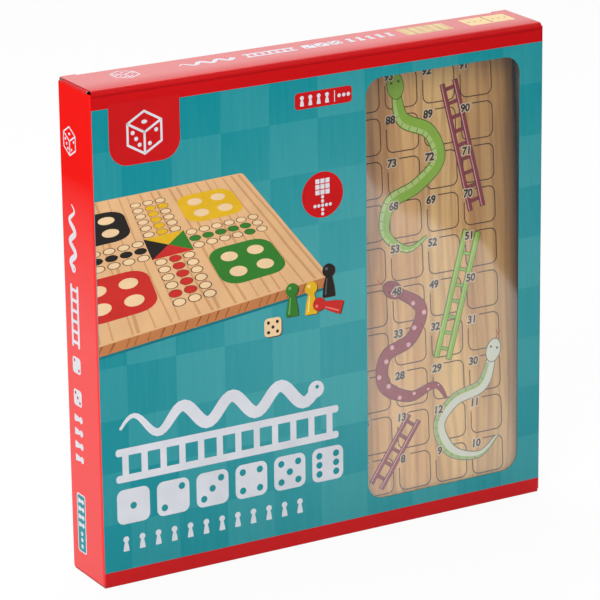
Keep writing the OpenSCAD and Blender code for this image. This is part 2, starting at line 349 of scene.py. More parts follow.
def film_material():
    """Clear window film, not quite flat: it lets most light through and mirrors a small share."""
    g = Graph("clear_film")
    haze = g.noise(11, detail=1, shift=(4.2, 0, 1.3))
    g.set(Base_Color=g.mix(haze, rgb(236, 240, 244), rgb(248, 250, 252)), Metallic=1.0)
    g.set(Alpha=g.remap(haze, 0.35, 0.7, 0.08, 0.11))
    g.set(Roughness=g.remap(haze, 0.3, 0.7, 0.03, 0.07))
    g.bump(g.noise(14, detail=1), 0.3, 0.006)
    return g.material


def paint_material(name, colour):
    """Gloss paint over turned wood, darker in patches, with faint rings showing through."""
    g = Graph(name)
    drift = g.noise(300, detail=2)
    rings = g.noise(900, stretch=(0.15, 0.15, 1), detail=2)
    g.set(Base_Color=g.mix(g.remap(drift, 0.35, 0.75, 0, 0.7), colour, darker(colour, 0.6)))
    g.set(Roughness=g.remap(drift, 0.3, 0.7, 0.14, 0.26), Coat_Weight=0.6, Coat_Roughness=0.08)
    g.bump(rings, 0.2, 0.0001)
    return g.material


# A pip's paint starts this far below the die's faces, and ends this far from its middle
PIP_BELOW, PIP_REACH = 0.03 * MM, 9.4 * MM


def die_material():
    """Pale wood with black paint in the pips, which lie below the faces and inside the rounding ball."""
    g = Graph("die_wood")
    low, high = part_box("die")
    middle = (low + high) / 2
    half = (high.x - low.x) / 2
    at = g.vector("ADD", g.pos, tuple(-c for c in middle))
    x, y, z = g.split(g.vector("ABSOLUTE", at, (0, 0, 0)))
    reach = g.math("MAXIMUM", g.math("MAXIMUM", x, y), z)
    below = g.math("LESS_THAN", reach, half - PIP_BELOW)
    inside = g.math("LESS_THAN", g.vector("DISTANCE", at, (0, 0, 0)), PIP_REACH)
    fibre = g.noise(900, stretch=(0.1, 1, 1), detail=3)
    wood = g.ramp(fibre, [(0.3, rgb(226, 192, 142)), (0.7, rgb(190, 144, 92))])
    g.set(Base_Color=g.mix(g.math("MULTIPLY", below, inside), wood, rgb(22, 20, 20)))
    g.set(Roughness=g.remap(fibre, 0.3, 0.7, 0.4, 0.55))
    g.bump(fibre, 0.2, 0.0001)
    return g.material


def dress(node, material):
    slots = NODES[node].data.materials
    slots.clear()
    slots.append(material)


# Panels are glossier towards the foot, and the lid away from its fold. The gain follows the upright folds
FRONT_FADE = gloss_along(2, 0.14, 0.29, 1.0, 0.4)
SIDE_FADE = gloss_along(2, 0.150, 0.245, 1.0, 0.0)
LID_FADE = gloss_along(1, FRONT * MM, (FRONT + 16) * MM, 0.3, 1.0)
PANEL = {"gloss": 0.09, "sheen": 0.18, "fade": FRONT_FADE}
SIDE = {"gloss": 0.4, "sheen": 0.3, "fade": SIDE_FADE, "gain": (0, 50, 0)}
LID = {"gloss": 0.85, "sheen": 0.4, "fade": LID_FADE}
CARDS = (
    ("front_panel", "print_front", (0, -1, 0), teal_check, PANEL),
    ("back_panel", "print_back", (0, 1, 0), teal_check, PANEL),
    ("left_panel", "print_left", (-1, 0, 0), left_print, SIDE),
    ("right_panel", "print_right", (1, 0, 0), right_print, SIDE),
    ("top_lid", "print_lid", (0, -1, 1), red_print, LID),
    ("bottom_outer_flap", "print_bottom", (0, -1, -1), red_print, {}),
    ("top_tongue", "print_tongue", (0, 1, 1), red_print, {}),
    ("glue_flap", "card_inner", (0, 0, 0), red_print, {"edge": FACE_ONLY}),
    ("bottom_inner_flap", "print_under", (0, 1, -1), red_print, {}),
)
YELLOW_PINE, ORANGE_PINE, TAN_PINE = (1.04, 1.04, 1.0), (1.0, 0.91, 0.85), (0.84, 0.77, 0.68)
STAVE_TONES = (
    YELLOW_PINE, TAN_PINE, ORANGE_PINE, YELLOW_PINE, YELLOW_PINE, ORANGE_PINE, YELLOW_PINE, TAN_PINE,
)
PAINTS = {
    "red": rgb(190, 24, 28),
    "green": rgb(38, 112, 44),
    "yellow": rgb(232, 186, 40),
    "black": rgb(30, 29, 30),
}
PAWNS_EACH = 4


def dress_cad_nodes():
    for node, name, face, paint, options in CARDS:
        dress(node, card_material(name, face, paint, **options))
    for side, x in (("left", -1), ("right", 1)):
        for end, z in (("top", 1), ("bottom", -1)):
            flap = card_material(f"card_{end}_{side}", (x, 0, z), bleed_print, edge=FACE_ONLY)
            dress(f"{end}_{side}_dust_flap", flap)
    dress("window_film", film_material())
    for i, tone in enumerate(STAVE_TONES, 1):
        dress(f"board_stave_{i}", pine_material(f"pine_{i}", tone, i))
    for colour, value in PAINTS.items():
        paint = paint_material(f"paint_{colour}", value)
        for i in range(1, PAWNS_EACH + 1):
            dress(f"pawn_{colour}_{i}", paint)
    dress("die", die_material())


# Light: the room's own, the floor's share of white, and lamps as place, size and watts
AMBIENT = 0.3
FLOOR_WHITE = 0.93
FLOOR_REACH = 6.0
# To gloss the floor is a table: white up to a slanting edge at the right, and dim beyond it
TABLE_EDGE, TABLE_SLANT, EDGE_SOFT, BEYOND = 0.26, 0.26, 0.01, 0.18
AIM = Vector((0, 0, 0.15))
LAMPS = {
    "key": ((-1.5, -1.15, 1.07), 1.0, 33),
    "fill": ((1.2, -1.6, 0.7), 1.2, 3),
    "top": ((0.1, 0.7, 1.6), 1.2, 20),
}


def seen_straight(g, ray):
    """1 where the eye looks straight or through the film, and 0 for light that bounces."""
    return g.math("MAXIMUM", ray["Is Camera Ray"], ray["Is Transmission Ray"])


def make_floor():
    """A white floor that keeps the shadow, and that gloss sees as a table."""
    r = FLOOR_REACH
    mesh = bpy.data.meshes.new("floor")
    mesh.from_pydata([(-r, -r, 0), (r, -r, 0), (r, r, 0), (-r, r, 0)], [], [(0, 1, 2, 3)])
    floor = bpy.data.objects.new("floor", mesh)
    SCENE.collection.objects.link(floor)
    material = bpy.data.materials.new("floor_white")
    g = Tree(material)
    ray = g.add("ShaderNodeLightPath").outputs
    seen = g.math("MAXIMUM", seen_straight(g, ray), ray["Is Glossy Ray"])
    share = g.math("MULTIPLY", seen, FLOOR_WHITE)
    x, y, _ = g.split(g.add("ShaderNodeTexCoord").outputs["Object"])
    across = g.math("ADD", x, g.math("MULTIPLY", y, TABLE_SLANT))
    table = g.remap(across, TABLE_EDGE, TABLE_EDGE + EDGE_SOFT, 1.0, BEYOND)
    strength = g.add("ShaderNodeMix", {0: ray["Is Glossy Ray"], 2: 1, 3: table}).outputs[0]
    paper = g.add("ShaderNodeBsdfDiffuse", {0: (0.9, 0.9, 0.9, 1)})
    white = g.add("ShaderNodeEmission", {1: strength})
    blend = g.add("ShaderNodeMixShader", {0: share, 1: paper.outputs[0], 2: white.outputs[0]})
    g.add("ShaderNodeOutputMaterial", {0: blend.outputs[0]})
    mesh.materials.append(material)


def make_world():
    """White to the eye. Gloss sees white walls beside and behind the carton, and a dim room before it."""
    world = bpy.data.worlds.new("studio")
    SCENE.world = world
    g = Tree(world)
    ray = g.add("ShaderNodeLightPath").outputs
    depth = g.split(g.add("ShaderNodeTexCoord").outputs["Generated"])[1]
    room = g.remap(depth, -0.85, -0.2, 0.25, 1.0, smooth=True)
    bounced = g.add("ShaderNodeMix", {0: ray["Is Glossy Ray"], 2: AMBIENT, 3: room}).outputs[0]
    strength = g.add("ShaderNodeMix", {0: seen_straight(g, ray), 2: bounced, 3: 1}).outputs[0]
    light = g.add("ShaderNodeBackground", {0: (1, 1, 1, 1), 1: strength})
    g.add("ShaderNodeOutputWorld", {0: light.outputs[0]})


def make_lamps():
    for name, (place, size, power) in LAMPS.items():
        data = bpy.data.lights.new(name, "AREA")
        data.size = size
        data.energy = power
        lamp = bpy.data.objects.new(name, data)
        SCENE.collection.objects.link(lamp)
        lamp.location = place
        lamp.rotation_mode = "QUATERNION"
        lamp.rotation_quaternion = (AIM - Vector(place)).to_track_quat("-Z", "Y")


# Flat shapes, in millimetres on a sheet


class Sheet:
    """A flat face that takes print. u and v run along it, in millimetres from its origin."""

    def __init__(self, origin, u, v, body, slot):
        self.origin, self.u, self.v = Vector(origin), u.normalized(), v.normalized()
        self.n = self.u.cross(self.v)
        self.body, self.slot = body, slot

    def at(self, u, v, w):
        return (self.origin + self.u * u + self.v * v + self.n * w) * MM

    def matrix(self, u, v, w):
        turn = Matrix((self.u, self.v, self.n)).transposed().to_4x4()
        return Matrix.Translation(self.at(u, v, w)) @ turn


# Print stands a step higher on each level and sinks into its face, and neighbours differ by the spread
INK_STEP = 0.02
INK_SUNK = 0.01
INK_SPREAD = 0.005


def place_piece(name, mesh, sheet, material):
    mesh.materials.append(material)
    piece = bpy.data.objects.new(name, mesh)
    SCENE.collection.objects.link(piece)
    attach(piece, sheet.body)


def area(loop):
    return sum(a[0] * b[1] - b[0] * a[1] for a, b in zip(loop, loop[1:] + loop[:1])) / 2


def ink(name, sheet, shapes, level, material):
    """One piece of print: each shape, a loop or a strip of two sides, becomes a thin closed plate."""
    verts, faces = [], []
    for number, shape in enumerate(shapes):
        top = INK_STEP * (level + 1) + INK_SPREAD * (number % 4)
        if isinstance(shape, tuple):
            left, right = shape
            loop = list(right) + list(left)[::-1]
            count = len(loop)
            covers = [(i, i + 1, count - 2 - i, count - 1 - i) for i in range(len(left) - 1)]
        else:
            loop = list(shape) if area(shape) >= 0 else list(shape)[::-1]
            count = len(loop)
            covers = [tuple(range(count))]
        base = len(verts)
        verts += [sheet.at(u, v, top) for u, v in loop]
        verts += [sheet.at(u, v, -INK_SUNK) for u, v in loop]
        for cover in covers:
            faces.append([base + i for i in cover])
            faces.append([base + count + i for i in cover[::-1]])
        for i in range(count):
            j = (i + 1) % count
            faces.append([base + i, base + count + i, base + count + j, base + j])
    mesh = bpy.data.meshes.new(name)
    mesh.from_pydata(verts, [], faces)
    place_piece(name, mesh, sheet, material)


def angles(count):
    return [2 * math.pi * i / count for i in range(count)]


def disc(u, v, r, count=24, tall=1.0):
    return [(u + r * math.cos(a), v + r * tall * math.sin(a)) for a in angles(count)]


def box(u0, v0, u1, v1, r=0.0, steps=5):
    """A rectangle, with round corners where r is given."""
    if not r:
        return [(u0, v0), (u1, v0), (u1, v1), (u0, v1)]
    loop = []
    corners = ((u1 - r, v0 + r, -90), (u1 - r, v1 - r, 0), (u0 + r, v1 - r, 90), (u0 + r, v0 + r, 180))
    for cu, cv, start in corners:
        for i in range(steps + 1):
            a = math.radians(start + 90 * i / steps)
            loop.append((cu + r * math.cos(a), cv + r * math.sin(a)))
    return loop


def between(p, q, r, s, t):
    """A number at the share t of a smooth way from q to r, with p before and s after."""
    slope, bend, twist = r - p, 2 * p - 5 * q + 4 * r - s, 3 * q - p - 3 * r + s
    return 0.5 * (2 * q + slope * t + bend * t * t + twist * t ** 3)


def smooth(points, steps):
    """A curve through the points."""
    out = []
    ends = [points[0]] + list(points) + [points[-1]]
    for near in zip(ends, ends[1:], ends[2:], ends[3:]):
        for i in range(steps):
            out.append(tuple(between(*numbers, i / steps) for numbers in zip(*near)))
    return out + [points[-1]]


def left_of(path, i):
    """The direction to the left of a path at one of its points."""
    a, b = path[max(i - 1, 0)], path[min(i + 1, len(path) - 1)]
    du, dv = b[0] - a[0], b[1] - a[1]
    size = math.hypot(du, dv) or 1.0
    return -dv / size, du / size


def sides(path, widths, shift=0.0):
    """A strip along a path: widths is one number or one for each point, and shift moves it to the left."""
    left, right = [], []
    for i, (u, v) in enumerate(path):
        w = widths[i] if isinstance(widths, list) else widths
        aside = shift[i] if isinstance(shift, list) else shift
        nu, nv = left_of(path, i)
        left.append((u + nu * (aside + w / 2), v + nv * (aside + w / 2)))
        right.append((u + nu * (aside - w / 2), v + nv * (aside - w / 2)))
    return left, right


def clip(loop, low):
    """What is left of a loop to the right of u = low."""
    out = []
    for (u0, v0), (u1, v1) in zip(loop, loop[1:] + loop[:1]):
        if u0 >= low:
            out.append((u0, v0))
        if (u0 < low) != (u1 < low):
            t = (low - u0) / (u1 - u0)
            out.append((low, v0 + t * (v1 - v0)))
    return out


def warp(quad):
    """The perspective map from the unit square to four corners, given anticlockwise."""
    (x0, y0), (x1, y1), (x2, y2), (x3, y3) = quad
    dx1, dx2, sx = x1 - x2, x3 - x2, x0 - x1 + x2 - x3
    dy1, dy2, sy = y1 - y2, y3 - y2, y0 - y1 + y2 - y3
    det = dx1 * dy2 - dx2 * dy1
    g, h = (sx * dy2 - dx2 * sy) / det, (dx1 * sy - sx * dy1) / det
    a, b, c = x1 - x0 + g * x1, x3 - x0 + h * x3, x0
    d, e, f = y1 - y0 + g * y1, y3 - y0 + h * y3, y0

    def place(s, t):
        depth = g * s + h * t + 1
        return (a * s + b * t + c) / depth, (d * s + e * t + f) / depth

    return place


def turned(u, v, size, angle):
    """The map that sizes and turns a small drawing, and sets it down at a point."""
    c, s = math.cos(angle), math.sin(angle)
    return lambda x, y: (u + size * (c * x - s * y), v + size * (s * x + c * y))


def moved(shapes, place):
    """Shapes, loops or strips, with each point sent through a map."""
    def send(points):
        return [place(*p) for p in points]
    return [tuple(map(send, s)) if isinstance(s, tuple) else send(s) for s in shapes]


# The outline of a pawn of height 1 from the side, standing at the origin
PAWN_HEAD = [(0.2 * math.cos(a), 0.78 + 0.2 * math.sin(a))
             for a in (math.radians(-60 + 300 * i / 20) for i in range(21))]
PAWN = [(-0.19, 0), (0.19, 0), (0.2, 0.06), (0.17, 0.3)] + PAWN_HEAD + [(-0.17, 0.3), (-0.2, 0.06)]
PAWN_SHINE = [[(-0.13, 0.08), (-0.08, 0.08), (-0.04, 0.56), (-0.07, 0.56)], disc(-0.07, 0.84, 0.05, 12)]


def pips(n):
    """Where a die's pips stand, as steps from the middle of the face."""
    places = [(0, 0)] if n % 2 else []
    if n > 1:
        places += [(-1, -1), (1, 1)]
    if n > 3:
        places += [(-1, 1), (1, -1)]
    if n > 5:
        places += [(-1, 0), (1, 0)]
    return places


INK_COLOURS = {
    "white": WHITE_INK, "red": RED, "teal": rgb(30, 142, 150), "teal_shade": rgb(22, 112, 122),
    "wood": rgb(226, 180, 132), "wood_line": rgb(206, 154, 106), "wood_edge": rgb(190, 122, 72),
    "wood_dark": rgb(146, 84, 46), "cream": rgb(238, 204, 160), "pale_card": rgb(236, 206, 156),
    "line": rgb(78, 46, 30), "black": rgb(36, 32, 30), "yellow": rgb(226, 178, 34), "green": rgb(52, 124, 44),
    "ludo_red": rgb(200, 44, 38), "green_high": rgb(116, 170, 104), "yellow_high": rgb(246, 222, 130),
    "red_high": rgb(230, 120, 110), "black_high": rgb(96, 92, 92),
    "leaf": rgb(142, 190, 52), "leaf_pale": rgb(186, 216, 122), "leaf_dark": rgb(66, 98, 24),
    "maroon": rgb(150, 44, 62), "maroon_pale": rgb(226, 176, 180), "maroon_dark": rgb(84, 24, 36),
    "bone": rgb(218, 222, 204), "bone_edge": rgb(164, 190, 110), "bone_dark": rgb(92, 100, 84),
    "halo": rgb(228, 206, 176), "digit": rgb(28, 24, 24),
}
# Three inks for each kind of snake and ladder: the outline, the fill and the second colour
LEAF = ("leaf_dark", "leaf", "leaf_pale")
MAROON = ("maroon_dark", "maroon", "maroon_pale")
BONE = ("bone_dark", "bone", "bone_edge")
ink_cache = {}


def ink_of(colour):
    if colour not in ink_cache:
        ink_cache[colour] = ink_material(f"ink_{colour}", INK_COLOURS[colour])
    return ink_cache[colour]


class Layers:
    """The print of one sheet, gathered by height and colour so that each makes one piece."""

    def __init__(self, sheet, name, low=None):
        self.sheet, self.name, self.low, self.shapes = sheet, name, low, {}

    def add(self, level, colour, shapes):
        if self.low is not None:
            shapes = [s if isinstance(s, tuple) else clip(s, self.low) for s in shapes]
            shapes = [s for s in shapes if isinstance(s, tuple) or len(s) > 2]
        self.shapes.setdefault((level, colour), []).extend(shapes)

    def make(self):
        for (level, colour), shapes in self.shapes.items():
            ink(f"{self.name}_{colour}_{level}", self.sheet, shapes, level, ink_of(colour))


# Plain signs: s runs along the row from s0 to s1, h is the height, and each gives its shapes and its holes


def wave_sign(s0, s1, h, turns=3, steps=60):
    """A plain snake: a wave that widens to a round head with one eye."""
    body = h * 0.36
    path, widths = [], []
    for i in range(steps + 1):
        swing = math.sin(2 * math.pi * turns * i / steps)
        path.append((s0 + body / 2 + (s1 - s0 - body * 1.6) * i / steps, h / 2 + (h - body) / 2 * swing))
        widths.append(body * min(1.0, 0.25 + 2.2 * i / steps))
    end_s, end_t = path[-1]
    shapes = [sides(path, widths), disc(*path[0], widths[0] / 2), disc(end_s, end_t, body * 0.72)]
    return shapes, [disc(end_s + body * 0.1, end_t + body * 0.2, body * 0.16)]


def ladder_sign(s0, s1, h):
    rail = h * 0.22
    shapes = [box(s0, 0, s1, rail, rail * 0.4), box(s0, h - rail, s1, h, rail * 0.4)]
    count = round((s1 - s0) / (h * 0.6))
    for i in range(count):
        s = s0 + (s1 - s0) * (i + 0.5) / count
        shapes.append(box(s - rail * 0.45, rail, s + rail * 0.45, h - rail))
    return shapes, []


def dice_sign(s0, s1, h, faces):
    gap = ((s1 - s0) - len(faces) * h) / max(len(faces) - 1, 1)
    shapes, holes = [], []
    for i, n in enumerate(faces):
        s = s0 + i * (h + gap)
        shapes.append(box(s, 0, s + h, h, h * 0.2))
        holes += [disc(s + h / 2 + p * h * 0.27, h / 2 + q * h * 0.27, h * 0.1, 16) for p, q in pips(n)]
    return shapes, holes


def pawn_sign(s0, s1, h, count):
    feet = [s0 + (s1 - s0) * (i + 0.5) / count for i in range(count)]
    return [moved([PAWN], turned(s, 0, h, 0))[0] for s in feet], []


def block_sign(u, v, r):
    """A die seen from a corner, drawn in lines."""
    turns = [math.radians(a) for a in range(30, 390, 60)]
    corner = [(u + r * math.cos(a), v + r * math.sin(a)) for a in turns]
    width = r * 0.11
    shapes = [sides([corner[i], corner[(i + 1) % 6]], width) for i in range(6)]
    shapes += [sides([(u, v), corner[i]], width) for i in (0, 2, 4)]
    shapes += [disc(*c, width / 2, 12) for c in corner + [(u, v)]]
    shapes.append(disc(u, v + r * 0.5, r * 0.15, 18, 0.6))
    for side, steps in ((-1, (-1, 0, 1)), (1, (-1, 1))):
        for k in steps:
            pip_u = u + side * r * 0.433 + side * k * r * 0.17
            shapes.append(disc(pip_u, v - r * 0.25 + k * r * 0.3, r * 0.1, 16))
    return shapes


def sign_row(layers, signs, place, cut="teal"):
    for shapes, holes in signs:
        layers.add(0, "white", moved(shapes, place))
        if holes:
            layers.add(1, cut, moved(holes, place))


def ludo(layers, place, level):
    """A plain cross-and-circle game: four corner homes, a cross of spots three wide, and a parted middle."""
    cell = 1 / 15

    def patch(loop):
        return [place(*p) for p in loop]

    def spot(i, j, r=0.4):
        return patch(disc((i + 0.5) * cell, (j + 0.5) * cell, r * cell, 16))

    homes = (("ludo_red", 0, 0), ("green", 9, 0), ("yellow", 9, 9), ("black", 0, 9))
    for colour, i, j in homes:
        home = box((i + 0.6) * cell, (j + 0.6) * cell, (i + 5.4) * cell, (j + 5.4) * cell, 1.3 * cell)
        layers.add(level, colour, [patch(home)])
        spots = [(i + a, j + b) for a in (1.5, 3.5) for b in (1.5, 3.5)]
        layers.add(level + 1, "cream", [spot(a, b, 0.62) for a, b in spots])
    near, far = range(1, 6), range(9, 14)
    arms = (
        ("ludo_red", [(7, k) for k in near], (6, 1)),
        ("green", [(k, 7) for k in far], (13, 6)),
        ("yellow", [(7, k) for k in far], (8, 13)),
        ("black", [(k, 7) for k in near], (1, 8)),
    )
    taken = set()
    for colour, run, start in arms:
        layers.add(level + 1, colour, [spot(*p) for p in run + [start]])
        taken.update(run + [start])
    cross = [(i, j) for i in range(15) for j in range(15) if (6 <= i <= 8) != (6 <= j <= 8)]
    ring = [p for p in cross if p not in taken]
    layers.add(level, "line", [spot(i, j, 0.44) for i, j in ring + sorted(taken)])
    layers.add(level + 1, "cream", [spot(i, j, 0.37) for i, j in ring])
    middle = (7.5 * cell, 7.5 * cell)
    corners = [(i * cell, j * cell) for i, j in ((6, 6), (9, 6), (9, 9), (6, 9))]
    for k, (colour, _, _) in enumerate(homes):
        layers.add(level, colour, [patch([corners[k], corners[(k + 1) % 4], middle])])


# Print on the carton, in millimetres from the lower left of each face

# Where the flat front begins beside the left fold
FOLD = 1.3


def print_front():
    p = Layers(Sheet((LEFT, FRONT, 0), ALONG_X, UP, "carton", "teal_print"), "front", FOLD)
    front_signs(p)
    front_picture(p)
    p.make()


def front_signs(p):
    """A red tab with a die, a red pill with pawns, a red disc with two boards, and white rows of signs."""
    tab_left, tab_right, tab_low, tab_top, tab_r, tab_steps = 11.5, 57, 254.5, 291.5, 12, 8
    tab = box(tab_left, tab_low, tab_right, tab_top, tab_r, tab_steps)
    lower = tab[3 * (tab_steps + 1):] + tab[:tab_steps + 1]
    die_u, die_v, die_r = 34.2, 272.5, 12.5
    p.add(0, "red", [lower + [(tab_right, tab_top), (tab_left, tab_top)]])
    p.add(1, "white", block_sign(die_u, die_v, die_r))

    pill_left, pill_right, pill_low, pill_high, pill_r = 132.5, 171, 271, 281, 2.2
    pawns_end, pawn_h, pawn_foot = pill_left + 24.5, 6.4, pill_low + 1.8
    bar_u, bar_w, bar_inset = pawns_end + 2, 0.5, 1.6
    dot_u, dot_step, dot_r = bar_u + 3.4, 3.1, 1.15
    p.add(0, "red", [box(pill_left, pill_low, pill_right, pill_high, pill_r)])
    pawns, _ = pawn_sign(pill_left + 2, pawns_end, pawn_h, 4)
    bar = box(bar_u, pill_low + bar_inset, bar_u + bar_w, pill_high - bar_inset)
    dots = [disc(dot_u + dot_step * i, (pill_low + pill_high) / 2, dot_r, 16) for i in range(3)]
    p.add(1, "white", moved(pawns, lambda s, t: (s, t + pawn_foot)))
    p.add(1, "white", [bar] + dots)

    disc_u, disc_v, disc_r = 150.5, 217.5, 14
    squares_v, squares_step, square_half = disc_v + 5, 3.4, 1.4
    cross_v, cross_step, spot_r = disc_v - 6.5, 2.6, 1.05
    p.add(0, "red", [disc(disc_u, disc_v, disc_r, 48)])
    squares, cross = [], []
    for i in range(-2, 3):
        for j in range(-2, 3):
            if abs(i) < 2 and abs(j) < 2:
                u, v = disc_u + squares_step * i, squares_v + squares_step * j
                squares.append(box(u - square_half, v - square_half, u + square_half, v + square_half))
            if i == 0 or j == 0:
                cross.append(disc(disc_u + cross_step * i, cross_v + cross_step * j, spot_r, 14))
    p.add(1, "white", squares + cross)

    # Each row's foot, and its sign
    left = 10
    rows = (
        (87, wave_sign(left, 153, 21, 4)),
        (64, ladder_sign(left, 160, 21)),
        (38, dice_sign(left, 163, 21.5, (1, 2, 3, 4, 5, 6))),
        (21, pawn_sign(left, 138, 9.5, 12)),
    )
    for base, sign in rows:
        sign_row(p, [sign], lambda s, t, base=base: (s, t + base))


def front_picture(p):
    """A picture of a wooden board with the cross-and-circle game, and its pieces."""
    place = warp(((-33, 145.8), (154.7, 166.8), (97, 239), (-42, 234.7)))
    thick = 6.2
    front_edge = [place(i / 12, 0) for i in range(13)]
    below = [(u - 0.8, v - thick) for u, v in front_edge]
    shadow = [(u + 1.0, v - 1.6) for u, v in (below[0], below[-1])]
    p.add(0, "teal_shade", [shadow + front_edge[::-1]])
    p.add(1, "wood_edge", [front_edge + below[::-1]])
    p.add(2, "wood", [[place(s, t) for s, t in box(0, 0, 1, 1, 0.02)]])
    edge_marks, grain_lines = 26, 22
    for i in range(edge_marks):
        s = (i + 0.2 + 0.5 * rng.random()) / edge_marks
        u, v = place(s, 0)
        lean = rng.uniform(1.4, 2.4)
        wide = rng.uniform(0.4, 1.6)
        high, low = v - 0.3, v - thick + 0.4
        p.add(2, "wood_dark", [[(u, high), (u + wide, high), (u - lean, low), (u - lean - 0.6, low)]])
    for i in range(grain_lines):
        s = (i + 0.25 + 0.5 * rng.random()) / grain_lines
        wide = rng.uniform(0.002, 0.006)
        wander = [rng.uniform(-0.005, 0.005) for _ in range(5)]
        left = [place(s + wander[k] - wide, k / 4 * 0.98 + 0.01) for k in range(5)]
        right = [place(s + wander[k] + wide, k / 4 * 0.98 + 0.01) for k in range(5)]
        p.add(3, "wood_line", [left + right[::-1]])
    ludo(p, lambda s, t: place(0.08 + 0.84 * s, 0.08 + 0.84 * t), 4)

    # Four pawns by colour, shine, foot, turn and level, one lying over the others, and a die
    pawn_h = 21
    figures = (
        ("green", "green_high", 129, 146, 0, 7),
        ("yellow", "yellow_high", 142, 145, 0, 7),
        ("ludo_red", "red_high", 163, 146, 74, 10),
        ("black", "black_high", 154, 154, 0, 7),
    )
    for colour, high, u, v, turn, level in figures:
        stand = turned(u, v, pawn_h, math.radians(turn))
        loop = moved([PAWN], stand)[0]
        p.add(level, "line", [[(a + 0.6, b - 0.4) for a, b in loop]])
        p.add(level + 1, colour, [loop])
        p.add(level + 2, high, moved(PAWN_SHINE, stand))
    die_u, die_v, die_w, die_r, die_shade, pip_step = 110, 136, 11.5, 2.6, 0.6, 3
    die = box(die_u, die_v, die_u + die_w, die_v + die_w, die_r)
    mid_u, mid_v = die_u + die_w / 2, die_v + die_w / 2
    p.add(8, "cream", [die])
    p.add(7, "line", [[(u + die_shade, v - die_shade) for u, v in die]])
    p.add(9, "black", [disc(mid_u + pip_step * a, mid_v + pip_step * b, 1.05, 14) for a, b in pips(5)])


def small_board(p, u0, v0, u1, v1, crossed):
    """A small picture of a board, seen flat: lines, or a cross of spots."""
    p.add(0, "pale_card", [box(u0, v0, u1, v1, 1.2)])
    if crossed:
        u, v = (u0 + u1) / 2, (v0 + v1) / 2
        spot_step = 1.6 / 12
        du, dv = (u1 - u0) * spot_step, (v1 - v0) * spot_step
        cross = [(i, j) for i in range(-3, 4) for j in range(-3, 4) if i == 0 or j == 0]
        p.add(1, "line", [disc(u + i * du, v + j * dv, 0.7, 10) for i, j in cross])
        return
    inset, count, line_w = 1, 5, 0.3
    left, right, low, high = u0 + inset, u1 - inset, v0 + inset, v1 - inset
    for i in range(count + 1):
        u, v = left + i * (right - left) / count, low + i * (high - low) / count
        p.add(1, "line", [sides([(u, low), (u, high)], line_w), sides([(left, v), (right, v)], line_w)])


def print_lid():
    p = Layers(Sheet((LEFT, FRONT, TOP), ALONG_X, ALONG_Y, "top_lid", "red_print"), "lid")
    p.add(1, "white", block_sign(35, 24, 8.5))
    signs = [wave_sign(69, 108, 8), ladder_sign(113, 147, 8), dice_sign(152, 178, 8, (2, 3, 5)),
             pawn_sign(181, 215, 8.6, 5)]
    sign_row(p, signs, lambda s, t: (s, t + 20), cut="red")
    small_board(p, 220, 16, 252, 32, False)
    small_board(p, 264, 16, 296, 32, True)
    p.make()


def print_side(name, origin, along, boxed):
    """A row of signs that runs down a side, with a boxed row of pawns and dots below it on one of them."""
    p = Layers(Sheet(origin, along, UP, "carton", "red_print"), name)
    p.add(1, "white", block_sign(13, 266, 8.5))
    signs = [wave_sign(0, 44, 10), ladder_sign(50, 88, 10), dice_sign(94, 124, 10, (2, 3)),
             pawn_sign(128, 161, 10.6, 4)]
    sign_row(p, signs, lambda s, t: (8 + t, 230 - s), cut="red")
    if boxed:
        rim = 0.9
        left, low, right, high = 7.5, 14, 18.5, 51
        pawns, _ = pawn_sign(16, 36, 7.5, 4)
        p.add(0, "white", [box(left, low, right, high, 2)])
        p.add(1, "teal", [box(left + rim, low + rim, right - rim, high - rim, 1.4)])
        p.add(2, "white", moved(pawns, lambda s, t: (9.2 + t, 65 - s)))
        p.add(2, "white", [disc((left + right) / 2, 18 + 4 * i, 1.4, 16) for i in range(3)])
    p.make()


def print_back():
    """The two games as flat pictures, over two rows of signs."""
    p = Layers(Sheet((RIGHT, BACK, 0), -ALONG_X, UP, "carton", "teal_print"), "back")
    size, base, crossed_at, squared_at = 114, 140, 28, 163
    for u in (crossed_at, squared_at):
        p.add(0, "wood_edge", [box(u, base - 3, u + size, base + 20, 3)])
        p.add(1, "wood", [box(u, base, u + size, base + size, 3)])
    border = 6
    game = size - 2 * border
    ludo(p, lambda s, t: (crossed_at + border + game * s, base + border + game * t), 2)
    step, side = 10.4, 8.6
    corner = (size - 9 * step - side) / 2
    for i in range(10):
        for j in range(10):
            u, v = squared_at + corner + i * step, base + corner + j * step
            p.add(2, "wood_line", [box(u, v, u + side, v + side, 1.6, 3)])
    ladder(p, (190, 165), (204, 205), MAROON, 1.8, 7, base=2)
    ladder(p, (246, 190), (256, 240), LEAF, 1.8, 7, base=2)
    snake(p, [(180, 240), (196, 232), (206, 216), (224, 212), (230, 196), (218, 184)], 4.6, LEAF, base=2)
    snake(p, [(262, 176), (250, 166), (234, 168), (224, 156), (210, 150)], 4.4, MAROON, base=2)
    left, right = (crossed_at, crossed_at + size), (squared_at, squared_at + size)
    rows = (
        (84, [wave_sign(*left, 16, 4), ladder_sign(*right, 16)]),
        (50, [dice_sign(*left, 16, (1, 2, 3, 4, 5, 6)), pawn_sign(*right, 16.5, 8)]),
    )
    for row_v, signs in rows:
        sign_row(p, signs, lambda s, t, row_v=row_v: (s, t + row_v))
    p.make()


# Print on the board, in millimetres from the lower left of each face

PITCH, SQUARE, LINE_W, SQUARE_R, SQUARE_STEPS = 26.4, 22.1, 0.7, 4.4, 6
MARGIN = (BOARD - 9 * PITCH - SQUARE) / 2
# Where the line round a square leaves off for the number
BREAK_U, BREAK_V = 8.0, 7.6
# The numbers' size, slant and place from the upper left of their square, and how far they and a halo swell
DIGIT_H, DIGIT_SLANT = 6.6, 0.12
DIGIT_U, DIGIT_V = 2.6, 2.4
DIGIT_SWELL, HALO_SWELL = 0.26, 0.8
DIGIT_LEVEL, HALO_LEVEL = 11, 10
